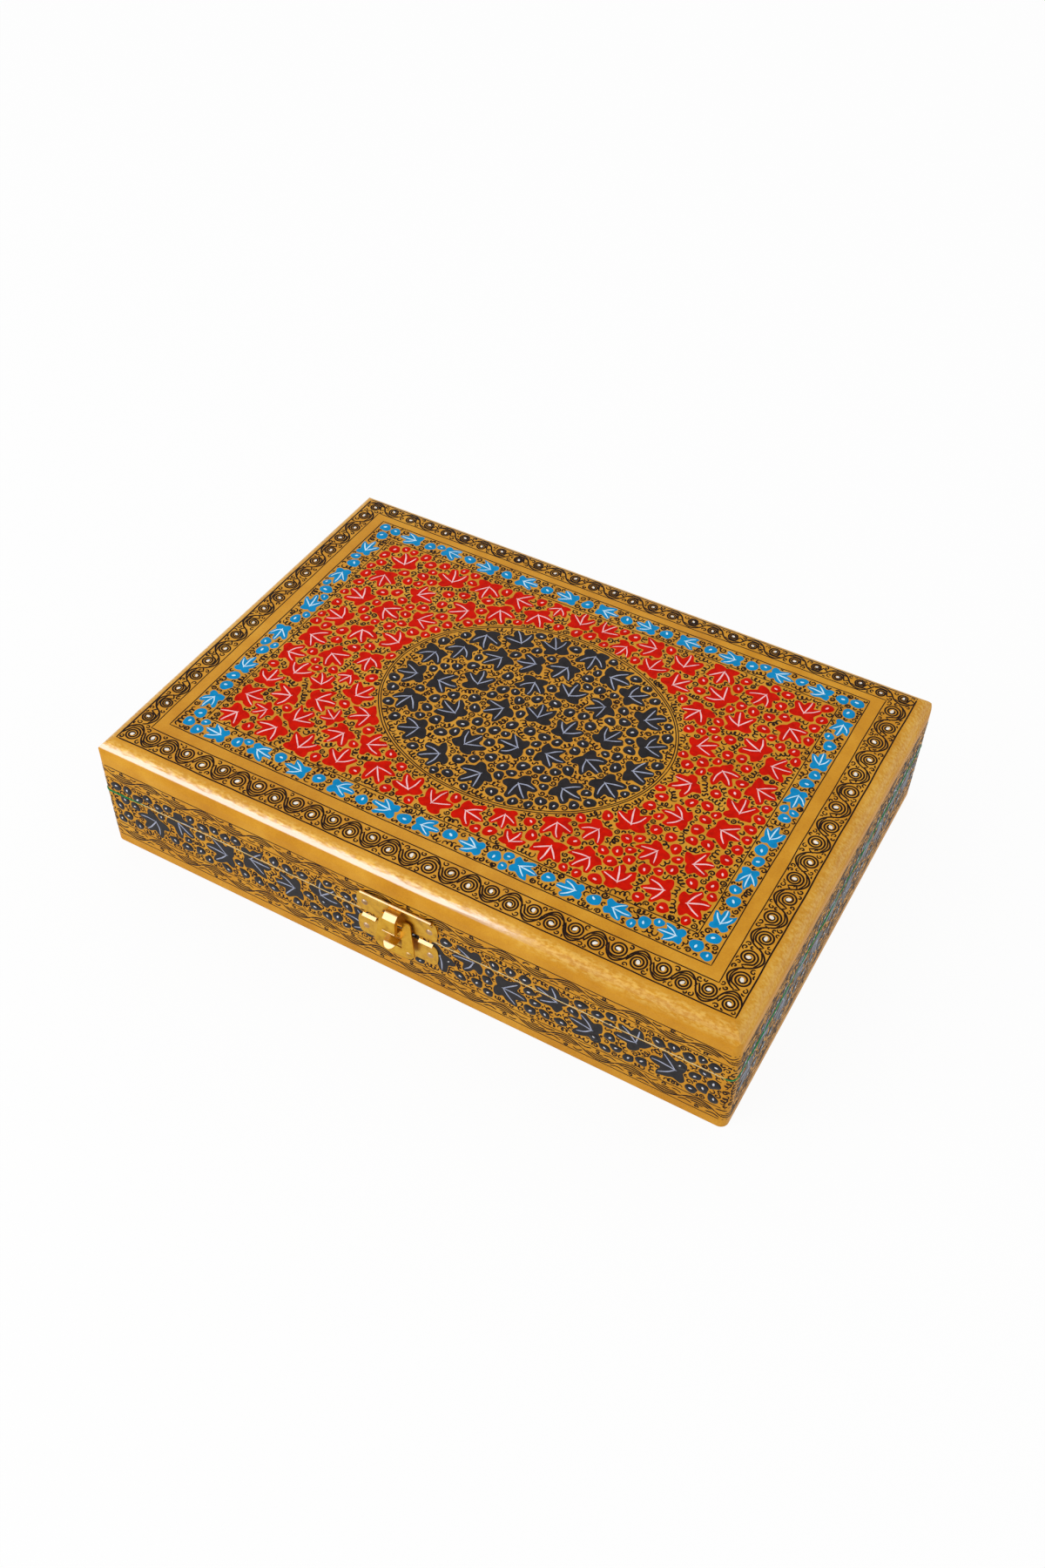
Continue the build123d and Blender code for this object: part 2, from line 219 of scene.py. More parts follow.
def pigment(name, colours, roughness=0.42, specular=0.08):
    # water colour bound with glue under the same varnish: flat, opaque and a little
    # streaky where the brush ran thin
    material, add = startMaterial(name)
    coords = add("TexCoord").outputs["Object"]
    streak = add("TexNoise", {"Scale": 1 / (pigmentMarks["thin"] * mm), "Detail": 3, "Roughness": 0.6},
                 {"Vector": coords})
    colour = add("ValToRGB", {"stops": zip((0.35, 0.6), colours)}, {"Fac": streak})
    brush = add("TexNoise", {"Scale": 1 / (pigmentMarks["bristle"] * mm), "Detail": 2, "Roughness": 0.5},
                {"Vector": coords})
    bump = add("Bump", {"Strength": 0.2, "Distance": 0.05 * mm}, {"Height": brush})
    shader = add("BsdfPrincipled", {"Roughness": roughness, "IOR": 1.45, "Specular IOR Level": specular},
                 {"Base Color": colour, "Normal": bump})
    add("OutputMaterial", None, {"Surface": shader})
    return material


velvetPile = {"nap": 22, "tuft": 0.6}   # mm, patches that lie one way, and tufts drawn coarse enough to show


def velvet(name, colours, sheen):
    # cotton velvet: short upright pile that looks dark straight on and pale along its edges
    material, add = startMaterial(name)
    coords = add("TexCoord").outputs["Object"]
    nap = add("TexNoise", {"Scale": 1 / (velvetPile["nap"] * mm), "Detail": 3, "Roughness": 0.6},
              {"Vector": coords})
    pile = add("TexNoise", {"Scale": 1 / (velvetPile["tuft"] * mm), "Detail": 4, "Roughness": 0.7},
               {"Vector": coords})
    colour = add("ValToRGB", {"stops": zip((0.2, 0.7), colours)}, {"Fac": nap})
    mix = add("Mix", {"data_type": "RGBA", "blend_type": "OVERLAY", 0: 0.4}, {6: colour, 7: pile})
    bump = add("Bump", {"Strength": 0.7, "Distance": 0.3 * mm}, {"Height": pile})
    shader = add("BsdfPrincipled",
                 {"Roughness": 0.95, "IOR": 1.45, "Specular IOR Level": 0.2, "Sheen Weight": 0.8,
                  "Sheen Roughness": 0.35, "Sheen Tint": linear(sheen)},
                 {"Base Color": mix.outputs[2], "Normal": bump})
    add("OutputMaterial", None, {"Surface": shader})
    return material


sheetMarks = {
    "wear": 3.2,              # mm, patches where the plating wears
    "dent": 2.0,              # mm
    "scratch": 0.5,           # mm between rolling lines
    "drawnOut": 0.12,         # their width as a share of their length
}


def stampedMetal(name, colours, roughness, scratchMm=sheetMarks["scratch"]):
    # thin stamped sheet with a plated finish: bright on the flats, with rolling lines,
    # handling scratches, a browner tone where the plating wears and clear lacquer on the folds
    material, add = startMaterial(name)
    texture = add("TexCoord")
    coords = texture.outputs["Object"]
    wear = add("TexNoise", {"Scale": 1 / (sheetMarks["wear"] * mm), "Detail": 4, "Roughness": 0.6},
               {"Vector": coords})
    colour = add("ValToRGB", {"stops": zip((0.28, 0.5, 0.8), colours)}, {"Fac": wear})
    stretched = add("Mapping", {"Scale": (sheetMarks["drawnOut"], 1.0, 1.0)}, {"Vector": coords})
    lines = add("TexNoise", {"Scale": 1 / (scratchMm * mm), "Detail": 5, "Roughness": 0.7},
                {"Vector": stretched})
    dulled = add("MapRange",
                 {"From Min": 0.3, "From Max": 0.75, "To Min": roughness * 0.7,
                  "To Max": roughness * 1.5},
                 {"Value": lines})
    dents = add("TexNoise", {"Scale": 1 / (sheetMarks["dent"] * mm), "Detail": 2, "Roughness": 0.5},
                {"Vector": coords})
    bump = add("Bump", {"Strength": 0.3, "Distance": 0.03 * mm}, {"Height": dents})
    fine = add("Bump", {"Strength": 0.25, "Distance": 0.01 * mm}, {"Height": lines, "Normal": bump})
    upright = add("SeparateXYZ", None, {0: texture.outputs["Normal"]}).outputs["Z"]
    folds = add("MapRange", {"From Min": 0.3, "From Max": 0.5, "To Min": 0.02}, {"Value": upright})
    shader = add("BsdfPrincipled", {"Metallic": 1.0, "Coat Roughness": 0.06, "Coat IOR": 2.6},
                 {"Base Color": colour, "Roughness": dulled, "Normal": fine, "Coat Weight": folds})
    add("OutputMaterial", None, {"Surface": shader})
    return material


gold = goldLacquer()
paints = {
    "ink": pigment("brown_ink_lacquered", palette["ink"]),
    "red": pigment("vermilion_paint_lacquered", palette["red"], specular=0.04),
    "blue": pigment("cerulean_paint_lacquered", palette["blue"]),
    "black": pigment("lamp_black_paint_lacquered", palette["black"], 0.36, 0.14),
    "pink": pigment("pale_pink_paint_lacquered", palette["pink"]),
    "paleBlue": pigment("pale_blue_paint_lacquered", palette["paleBlue"]),
    "grey": pigment("grey_paint_lacquered", palette["grey"]),
    "white": pigment("chalk_white_paint_lacquered", palette["white"]),
}
velvetGreen = velvet("green_cotton_velvet", ("#126a3a", "#1f8f50"), "#8fe0b4")
creamBacking = velvet("cream_cotton_backing", ("#d8c184", "#ead9a4"), "#f4ead0")
latchBrass = stampedMetal("brass_plated_latch_sheet", ("#a8781c", "#cf9a20", "#dcae38"), 0.34)
hingeBrass = stampedMetal("brass_plated_hinge_sheet", ("#80601e", "#c2942e", "#d0aa48"), 0.32)
tackSteel = stampedMetal("coppered_steel_tack", ("#765636", "#b08656", "#c8a070"), 0.28, 0.3)


def dressNodes():
    finishes = {"gold_lacquer": gold, "green_velvet": velvetGreen, "latch_brass": latchBrass,
                "hinge_brass": hingeBrass, "nail_steel": tackSteel}
    for part in frame["record"]["subparts"]:
        node = nodes[part["node"]]
        node.data.materials.clear()
        node.data.materials.append(finishes[part["material_slot"]])
    print("dressed", len(nodes), "nodes")


# painted shapes: each layer is one colour, drawn flat in mm and wrapped on the box
class PaintLayer:
    def __init__(self, colour, lift, under=0.0):
        self.colour = colour
        self.lift = lift              # top of the dried paint, mm above the board
        self.under = under            # top of what it is painted on
        self.foot = under - 0.03      # its edge, just inside that
        self.verts = []
        self.faces = []
        self.smooth = []
        self.count = 0

    def spread(self):
        # how much wider than its visible width a ridge is at its foot
        return (self.lift - self.foot) / (self.lift - self.under)


def addShape(layer, verts, faces, smooth):
    layer.verts.append(np.asarray(verts, float))
    layer.faces += [[i + layer.count for i in face] for face in faces]
    layer.smooth += smooth
    layer.count += len(verts)


def smoothPath(points, steps=6, closed=False):
    p = np.asarray(points, float)
    if closed:
        p = np.vstack([p[-1], p, p[0], p[1]])
    else:
        p = np.vstack([2 * p[0] - p[1], p, 2 * p[-1] - p[-2]])
    t = np.linspace(0, 1, steps, endpoint=False)[:, None]
    out = []
    for a, b, c, d in zip(p[:-3], p[1:-2], p[2:-1], p[3:]):
        out.append(0.5 * (2 * b + (c - a) * t + (2 * a - 5 * b + 4 * c - d) * t**2 +
                          (3 * b - a - 3 * c + d) * t**3))
    path = np.vstack(out)
    return path if closed else np.vstack([path, points[-1]])


def addStroke(layer, points, width, taper=0.35, tip=0.25):
    # a brush stroke with a raised spine: full width in the middle, drawn out at both ends
    p = np.asarray(points, float)
    n = len(p)
    along = np.gradient(p, axis=0)
    along /= np.maximum(np.linalg.norm(along, axis=1), 1e-9)[:, None]
    side = np.stack([-along[:, 1], along[:, 0]], 1)
    run = np.concatenate([[0], np.cumsum(np.linalg.norm(np.diff(p, axis=0), axis=1))])
    t = run / max(run[-1], 1e-9)
    edge = np.clip(np.minimum(t, 1 - t) / max(taper, 1e-6), 0, 1)
    half = 0.5 * width * layer.spread() * (tip + (1 - tip) * np.sqrt(edge))
    left = np.column_stack([p + side * half[:, None], np.full(n, layer.foot)])
    spine = np.column_stack([p, np.full(n, layer.lift)])
    right = np.column_stack([p - side * half[:, None], np.full(n, layer.foot)])
    faces = []
    for i in range(n - 1):
        faces.append((i + n, i + n + 1, i + 1, i))
        faces.append((i + 2 * n, i + 2 * n + 1, i + n + 1, i + n))
    faces += [(0, 2 * n, n), (n - 1, 2 * n - 1, 3 * n - 1)]
    addShape(layer, np.vstack([left, spine, right]), faces, [True] * len(faces))


def addBlob(layer, outline, bevel=0.16, dome=False, rise=0.0, hub=None):
    # a flat or domed patch of paint, its top drawn as a fan round the hub
    p = np.asarray(outline, float)
    n = len(p)
    along = np.roll(p, -1, 0) - np.roll(p, 1, 0)
    along /= np.maximum(np.linalg.norm(along, axis=1), 1e-9)[:, None]
    inward = np.stack([-along[:, 1], along[:, 0]], 1)
    centre, top = p.mean(0), layer.lift + rise
    rings = [(p, layer.foot), (p + inward * bevel, top)]
    if dome:
        top += 0.02
        rings.append((centre + (p - centre) * 0.5, top))
    verts = [np.column_stack([ring, np.full(n, z)]) for ring, z in rings]
    verts.append([(*(centre if hub is None else hub), top)])
    starts = range(0, (len(rings) - 1) * n, n)
    faces = [(k + i, k + (i + 1) % n, k + n + (i + 1) % n, k + n + i) for k in starts for i in range(n)]
    smooth = [True] * len(faces) + [dome] * n
    last = starts[-1] + n
    faces += [(last + i, last + (i + 1) % n, last + n) for i in range(n)]
    addShape(layer, np.vstack(verts), faces, smooth)


def turned(points, angle, centre=(0, 0), scale=1.0):
    c, s = math.cos(angle), math.sin(angle)
    p = np.asarray(points, float) * scale
    return p @ np.array([[c, s], [-s, c]]) + np.asarray(centre, float)


def polar(angleDeg, radius):
    a = math.radians(angleDeg)
    return (radius * math.cos(a), radius * math.sin(a))


# a map of the free space between painted shapes
class GapMap:
    def __init__(self, low, high, region, cell=0.25, reach=7.0):
        self.low, self.cell, self.reach = np.asarray(low, float), cell, reach
        self.nx = int((high[0] - low[0]) / cell) + 1
        self.ny = int((high[1] - low[1]) / cell) + 1
        self.x = low[0] + np.arange(self.nx) * cell
        self.y = low[1] + np.arange(self.ny) * cell
        gx, gy = np.meshgrid(self.x, self.y)
        self.free = np.minimum(region(gx, gy), reach)

    def mark(self, points, radius, reach=None):
        reach = reach or self.reach
        pts = np.atleast_2d(points)
        i0 = np.clip(((pts.min(0) - reach - self.low) / self.cell).astype(int), 0, None)
        i1 = ((pts.max(0) + reach - self.low) / self.cell).astype(int) + 2
        xs, ys = self.x[i0[0]:i1[0]], self.y[i0[1]:i1[1]]
        if len(xs) == 0 or len(ys) == 0:
            return
        best = np.full((len(ys), len(xs)), 1e9)
        for px, py in pts:
            best = np.minimum(best, (xs[None, :] - px) ** 2 + (ys[:, None] - py) ** 2)
        window = self.free[i0[1]:i1[1], i0[0]:i1[0]]
        np.minimum(window, np.sqrt(best) - radius, out=window)

    def at(self, points):
        i = np.rint((np.asarray(points) - self.low) / self.cell).astype(int)
        i, j = np.clip(i, 0, (self.nx - 1, self.ny - 1)).T
        return self.free[j, i]

    def widest(self):
        k = int(self.free.argmax())
        j, i = divmod(k, self.nx)
        return np.array([self.x[i], self.y[j]]), float(self.free[j, i])


def spreadPoints(region, low, high, count, margin, rounds=9, jitter=0.5):
    # evenly spread places inside a region, each moved to the middle of what is nearest to it
    step = 1.0
    gx, gy = np.meshgrid(np.arange(low[0], high[0], step), np.arange(low[1], high[1], step))
    inside = region(gx, gy) > 0
    cells = np.stack([gx[inside], gy[inside]], 1)
    sites = cells[random.permutation(len(cells))[:count]].copy()
    for _ in range(rounds):
        nearest = ((cells[:, None, :] - sites[None]) ** 2).sum(2).argmin(1)
        for k in range(count):
            mine = cells[nearest == k]
            if len(mine):
                sites[k] = mine.mean(0)
    sites += pick(-jitter, jitter, sites.shape)
    room = region(sites[:, 0], sites[:, 1])
    return sites[room > margin]


# chinar leaves and berries
chinar = {
    # edge of one half, degrees from the tip and distance from the vein's root
    "half": [(0, 1.0), (9, 0.92), (18, 0.76), (28, 0.61), (38, 0.80), (48, 0.96), (59, 0.88), (73, 0.66),
             (88, 0.52), (103, 0.65), (118, 0.70), (138, 0.56), (160, 0.40)],
    "base": (180, 0.31),
    "middle": 0.26,           # the leaf's middle, from the vein's root
    "jitter": 0.045,
    "veinWidth": 0.5,         # for a leaf of the reach below
    "veinReach": 8.0,
    "sizes": (1.0, 0.95, 0.90, 0.85, 0.80, 0.74),   # tried in turn where neighbours crowd it
    "nudges": 9,              # places tried for each size
    "nudge": 1.1,             # mm, how far from its own place
    "touch": 0.18,            # mm of room below which the place is left to the berries
}


def leafOutline():
    upper = chinar["half"]
    points = [upper[0]] + list(upper[1:]) + [chinar["base"]] + [(-a, r) for a, r in reversed(upper[1:])]
    lean = random.normal(0, 0.05)
    lobes = []
    for a, r in points:
        r = r * (1 + random.normal(0, chinar["jitter"]) + lean * math.sin(math.radians(a)))
        lobes.append(polar(a + random.normal(0, 1.8), r))
    return smoothPath(np.array(lobes), 3, closed=True)


def leafVeins():
    bend = pick(-0.06, 0.06)
    strokes = [smoothPath([(-0.08, 0), (0.25, bend * 0.6), (0.6, bend), (0.9, 0)], 5)]
    for side in (-1, 1):
        spread = pick(42, 54)
        knee = polar(side * (spread + pick(0, 12)), pick(0.36, 0.46))
        strokes.append(smoothPath([(-0.02, 0), knee, polar(side * spread, pick(0.74, 0.84))], 6))
    return strokes


def drawLeaf(centre, angles, reach, layer, veinLayer, gaps, halo=0.28, stretch=(1, 1)):
    # the first size that leaves a gold halo all round, at whichever angle has the most room
    shape, veins = leafOutline() * stretch, [v * stretch for v in leafVeins()]
    best = None
    nudges = pick(-1, 1, (chinar["nudges"], 2)) * chinar["nudge"]
    nudges[0] = 0
    for size in chinar["sizes"]:
        for angle in angles:
            back = turned([(chinar["middle"] * reach * size * stretch[0], 0)], angle)[0]
            for nudge in nudges:
                root = np.asarray(centre) + nudge - back
                outline = turned(shape, angle, root, reach * size)
                room = gaps.at(outline).min()
                if best is None or room > best[0]:
                    best = (room, outline, angle, root, reach * size)
        if best[0] > halo:
            break
    room, outline, angle, root, scale = best
    if room < chinar["touch"]:
        return
    addBlob(layer, outline, rise=pick(0, leafTop - 0.10), hub=root)
    width = chinar["veinWidth"] * (0.4 + 0.6 * scale / chinar["veinReach"])
    for vein, weight in zip(veins, (1.0, 0.92, 0.92)):
        addStroke(veinLayer, turned(vein, angle, root, scale), width * weight, 0.45, 0.45)
    gaps.mark(outline, 0.05)
    core = np.array([(0.1, 0), (0.35, 0), (0.6, 0), (0.25, 0.3), (0.25, -0.3)]) * stretch
    gaps.mark(turned(core, angle, root, scale), 0.2 * scale * min(stretch))


berry = {
    # half axes of the pale dab and of the white one on it, and how far off the middle they lie, all of
    # the berry's radius
    "dab": (0.34, 0.19),
    "core": (0.22, 0.12),
    "off": 0.16,
    "point": 0.38,            # radians, how wide it runs out towards its stalk
}


def drawBerry(centre, radius, layer, dabLayer, gaps, coreLayer=None, drop=0.16):
    t = np.linspace(0, 2 * math.pi, 20, endpoint=False)
    phase = pick(0, 6.28, 3)
    r = radius * (1 + 0.08 * np.cos(2 * t + phase[0]) + 0.05 * np.cos(3 * t + phase[1]))
    r += drop * radius * np.exp(-((np.angle(np.exp(1j * (t - phase[2]))) / berry["point"]) ** 2))
    outline = np.stack([np.cos(t) * r, np.sin(t) * r], 1) + centre
    addBlob(layer, outline, dome=True, rise=pick(0, leafTop - 0.10))
    gaps.mark(outline, 0.05)
    gaps.mark([centre], radius * 0.6)
    tilt = phase[2] + pick(-0.3, 0.3)
    shift = pick(-berry["off"], berry["off"], 2) * radius
    drawDab(centre + shift, *[part * radius for part in berry["dab"]], tilt, dabLayer)
    if coreLayer is not None:
        drawDab(centre + shift + (-0.05, 0.08), *[part * radius for part in berry["core"]], tilt, coreLayer)


def drawDab(centre, a, b, tilt, layer):
    t = np.linspace(0, 2 * math.pi, 12, endpoint=False)
    wobble = 1 + pick(-0.12, 0.12, 12)
    addBlob(layer, turned(np.stack([np.cos(t) * a * wobble, np.sin(t) * b * wobble], 1), tilt, centre),
            bevel=0.3 * b)


# ink penwork that fills what the leaves and berries leave
def penScribble(turns):
    # joined-up loops of uneven height on a wandering line
    t = np.linspace(0, turns, int(turns * 12) + 1)
    size = 0.82 + 0.22 * np.sin(t * 2.1 + pick(0, 6)) + 0.1 * np.sin(t * 5.3 + pick(0, 6))
    x = t * pick(1.4, 1.75) - pick(0.45, 0.85) * size * np.sin(t * 2 * math.pi)
    y = -size * np.cos(t * 2 * math.pi) + 0.3 * np.sin(t * 1.1 + pick(0, 6))
    return np.stack([x - x.mean(), y], 1)


def penCurl(turns, size):
    t = np.linspace(0, 1, int(turns * 12) + 3)
    r = size * (1 - 0.82 * t)
    a = t * turns * 2 * math.pi * random.choice([-1, 1]) + 1
    return np.stack([r * np.cos(a), r * np.sin(a)], 1)


def penHook(size):
    end = -0.35 * pick(0.7, 1.2)
    bends = [(-1.0, -0.3), (-0.4, 0.45), (0.3, 0.2), (0.35, -0.4), (-0.05, end)]
    return smoothPath(np.array(bends) * size, 4)


def penEss(size):
    bends = [(0.5, 0.8), (-0.1, 1.0), (-0.45, 0.5), (0.0, 0.0), (0.45, -0.5), (0.1, -1.0), (-0.5, -0.8)]
    return smoothPath(np.array(bends) * size, 3)


def penArc(size):
    bend = pick(0.15, 0.4)
    return smoothPath(np.array([(-1.0, -bend), (0.0, bend * 0.6), (1.0, -bend)]) * size, 5)


def penTick(size):
    return smoothPath(np.array([(-0.5, 0.1), (0.0, 0.22), (0.5, -0.15)]) * size, 3)


penwork = {
    "width": 0.64,            # mm
    "gap": 0.10,              # mm of gold kept between two marks, above what each pass asks
    "angles": 6,              # tried for each mark
    "tries": 2600,            # spots tried for one kind of mark
    "room": 0.31,             # mm of gold along a mark
}


def fillWithPenwork(gaps, layer, passes, width=penwork["width"], lean=None):
    # each pass tries one family of marks in the spots that are left, within lean of the x axis if given
    placed = 0
    for make, tries, room, spacing in passes:
        spots = np.argwhere(gaps.free > room)
        if not len(spots):
            continue
        spots = spots[random.permutation(len(spots))[:tries]]
        for j, i in spots:
            if gaps.free[j, i] <= room:
                continue
            centre = np.array([gaps.x[i], gaps.y[j]])
            mark = make()
            start = pick(0, math.pi)
            for k in range(penwork["angles"]):
                angle = start + k * math.pi / 6 if lean is None else pick(-lean, lean) + k * math.pi
                trial = turned(mark, angle, centre)
                if gaps.at(trial).min() > spacing:
                    addStroke(layer, trial, width * pick(0.85, 1.15), 0.2, 0.45)
                    gaps.mark(trial[::2], width / 2 + penwork["gap"], 2.0)
                    placed += 1
                    break
    return placed


# straight and curved ruling lines, drawn by hand
def ruledLine(layer, start, end, width):
    length = np.linalg.norm(end - start)
    count = max(int(length / 1.5), 2)
    t = np.linspace(0, 1, count)
    across = np.array([-(end - start)[1], (end - start)[0]]) / length
    drift = 0.07 * np.sin(t * length / 9 + pick(0, 6)) + 0.05 * np.sin(t * length / 3.1 + pick(0, 6))
    path = start + t[:, None] * (end - start) + drift[:, None] * across
    addStroke(layer, path, width * pick(0.92, 1.08), 0.01, 0.6)


def rectSides(rect):
    # the ends of its four sides, anticlockwise from the front
    x0, y0, x1, y1 = rect
    corners = [np.array(corner) for corner in ((x0, y0), (x1, y0), (x1, y1), (x0, y1))]
    return list(zip(corners, corners[1:] + corners[:1]))


def ruledRect(layer, rect, width):
    for start, end in rectSides(rect):
        ruledLine(layer, start, end, width)


# running scroll of the border and the vine of the walls
def bandPlace(points, start, along):
    # band coordinates (along, across) to the face's own
    p = np.asarray(points, float)
    d = np.asarray(along, float)
    across = np.array([-d[1], d[0]])
    return np.asarray(start, float) + p[:, :1] * d + p[:, 1:] * across


def bays(length, period):
    # start, length and side of each bay, to the left and to the right in turn
    count = max(int(round(length / period)), 1)
    p = length / count
    return [(k * p, p, 1 if k % 2 == 0 else -1) for k in range(count)]


def strokesInBand(ink, gaps, strokes, width, start, along):
    # strokes = (path in band coordinates, weight, taper, tip)
    for path, weight, taper, tip in strokes:
        placed = bandPlace(path, start, along)
        addStroke(ink, placed, width * weight, taper, tip)
        gaps.mark(placed, width / 2, 2.5)


scroll = {
    "stroke": 0.7,            # mm
    "swing": (0.40, 0.43),    # of the stem, as a share of the band's width
    "nested": 0.95,           # mm between the stem and the line inside it
    "turns": (2.3, 2.6),      # of each coil
    "coil": (0.35, 0.43),     # its size, the lesser of these shares of the band's width and the bay
}


def scrollBand(ink, dab, gaps, start, along, length, width, period):
    # a stem that swings from line to line, and in each bay a coil of two and a half turns
    for s0, p, up in bays(length, period):
        t = np.linspace(0, 1, 19)
        rise = pick(*scroll["swing"]) * width
        arch = np.sin(math.pi * t) ** 0.72
        stem = np.stack([s0 + t * p, up * rise * arch], 1)
        inner = stem[3:-3] - np.array([0, up * scroll["nested"]]) * np.stack([np.zeros(13), arch[3:-3]], 1)
        size = min(scroll["coil"][0] * width, scroll["coil"][1] * p) * pick(0.95, 1.04)
        middle = np.array([s0 + p * (0.5 + pick(-0.03, 0.03)), -up * 0.09 * width])
        q = np.linspace(0, 1, 42)
        angle = math.pi - q * pick(*scroll["turns"]) * 2 * math.pi
        r = size * (1 - 0.80 * q ** 0.95)
        coil = np.stack([r * np.cos(angle), up * r * np.sin(angle)], 1) + middle
        lead = [(s0 - 0.04 * p, up * 0.02 * width), (middle[0] - size * 1.12, middle[1] - up * 0.25 * size)]
        coil = smoothPath(np.vstack([lead, coil[2:]]), 2)
        strokes = ((stem, 1.0, 0.02, 0.8), (inner, 0.8, 0.3, 0.5), (coil, 1.0, 0.08, 0.6))
        strokesInBand(ink, gaps, strokes, scroll["stroke"], start, along)
        middle = bandPlace([middle], start, along)
        drawDab(middle[0], size * 0.30, size * 0.20, pick(0, 3), dab)
        gaps.mark(middle, size * 0.28, 2.5)


vine = {
    "stroke": 0.72,           # mm
    "swing": 0.38,            # of the stem, as a share of the band's width
    # the lines of an arch: mm under the stem, first and last of its 17 points, and weight
    "arch": ((0.0, 0, 17, 1.0), (1.1, 2, 15, 0.95), (2.2, 4, 14, 0.9), (3.2, 6, 11, 0.85)),
    "curl": (1.1, 0.85),      # turns and size of the curl in each bay
}


def vineBand(ink, gaps, start, along, length, width, period):
    # a stem that swings from line to line, with three lines nested under each arch
    for s0, p, up in bays(length, period):
        t = np.linspace(0, 1, 17)
        hump = up * vine["swing"] * width * np.sin(math.pi * t)
        strokes = []
        for offset, first, last, weight in vine["arch"]:
            reach = offset * (0.6 + 0.4 * np.sin(math.pi * t))
            arch = np.stack([s0 + t * p + 0.1 * offset, hump - up * reach], 1)
            strokes.append((arch[first:last], weight, 0.1, 0.5))
        middle = (s0 + p * pick(0.44, 0.56), -up * 0.32 * width)
        strokes.append((turned(penCurl(*vine["curl"]), pick(0, 6), middle), 0.85, 0.1, 0.5))
        strokesInBand(ink, gaps, strokes, vine["stroke"], start, along)


def fillBerries(gaps, sizes, layer, dab, core=None, drop=0.16):
    largest, smallest, margin, limit = sizes
    made = 0
    while made < limit:
        centre, room = gaps.widest()
        radius = min(room - margin, largest * pick(0.92, 1.06))
        if radius < smallest:
            break
        drawBerry(centre + pick(-0.1, 0.1, 2), radius, layer, dab, gaps, core, drop)
        made += 1
    return made


# regions, as distance inside in mm
def rectInside(x, y, rect):
    return np.minimum(np.minimum(x - rect[0], rect[2] - x), np.minimum(y - rect[1], rect[3] - y))


def ovalInside(x, y, oval):
    cx, cy, a, b = oval
    dx, dy = x - cx, y - cy
    f = np.sqrt((dx / a) ** 2 + (dy / b) ** 2) + 1e-9
    slope = np.sqrt((dx / a ** 2) ** 2 + (dy / b ** 2) ** 2) / f + 1e-9
    return (1 - f) / slope


def insetRect(sides):
    left, right, back, front = sides
    return left - halfLength, front - halfDepth, halfLength - right, halfDepth - back


topDesign = {
    # distances in from the outer faces: left, right, back, front
    "borderOuter": (5.3, 5.7, 4.6, 6.5),
    "borderInner": (13.1, 15.6, 11.5, 16.3),
    "frameOuter": (17.8, 20.6, 15.0, 21.1),
    "frameInner": (27.2, 29.5, 24.0, 30.9),
    "lines": (0.6, 0.46, 0.46, 0.44),   # widths of their ruled lines
    "oval": (-0.3, 2.8, 57.5, 46.5),    # middle and half axes
    "ovalLine": 0.46,
    "ovalStep": 0.9,          # between its two lines
    "leafMargin": 3.85,       # from the middle of a leaf to the edge of its field
    # leaves and their reach, then the berries: largest and smallest radius, gold kept round them and number
    "red": (80, 7.75, (2.3, 1.6, 0.42, 170)),
    "black": (36, 8.0, (2.3, 1.6, 0.42, 100)),
    "blueReach": 6.5,
    "blueBerries": (2.4, 1.7, 0.4, 110),
    "blueSpacing": (18.4, 19.6),   # along the long and the short sides
    "scrollPeriod": (7.9, 9.4, 8.7, 8.7),   # front, right, back, left
}

leafTop = 0.12   # mm, the thickest of the leaves' and berries' paint
layers = {
    "border_scroll": PaintLayer("ink", 0.08), "border_dabs": PaintLayer("white", 0.13),
    "frame_penwork": PaintLayer("ink", 0.08), "field_penwork": PaintLayer("ink", 0.08),
    "oval_penwork": PaintLayer("ink", 0.08),
    "red_leaves": PaintLayer("red", 0.10), "red_veins": PaintLayer("pink", 0.19, leafTop),
    "blue_leaves": PaintLayer("blue", 0.10), "blue_veins": PaintLayer("paleBlue", 0.19, leafTop),
    "black_leaves": PaintLayer("black", 0.10), "black_veins": PaintLayer("grey", 0.19, leafTop),
    "black_dabs": PaintLayer("white", 0.23, 0.17),
    "wall_penwork": PaintLayer("ink", 0.08), "wall_leaves": PaintLayer("black", 0.10),
    "wall_veins": PaintLayer("grey", 0.19, leafTop), "wall_dabs": PaintLayer("white", 0.23, 0.17),
}


def penPasses(scale):
    # pen marks from the widest gaps to the narrowest: mark, tries, room at its middle, room along it
    n, along = int(penwork["tries"] * scale), penwork["room"]
    return (
        (lambda: penScribble(pick(2.6, 4.6)), 3 * n, 1.0, along),
        (lambda: penCurl(pick(1.1, 1.6), pick(1.1, 1.5)), n, 1.1, along + 0.02),
        (lambda: penScribble(pick(1.5, 2.6)), 3 * n, 0.90, along),
        (lambda: penEss(pick(1.0, 1.5)), n, 0.80, along),
        (lambda: penScribble(pick(0.9, 1.5)), 3 * n, 0.80, along),
        (lambda: penHook(pick(0.9, 1.4)), 2 * n, 0.75, along),
        (lambda: penEss(pick(0.75, 1.0)), n, 0.70, along),
        (lambda: penHook(pick(0.7, 1.0)), 2 * n, 0.66, along),
        (lambda: penTick(pick(1.1, 1.6)), 2 * n, 0.60, along),
    )


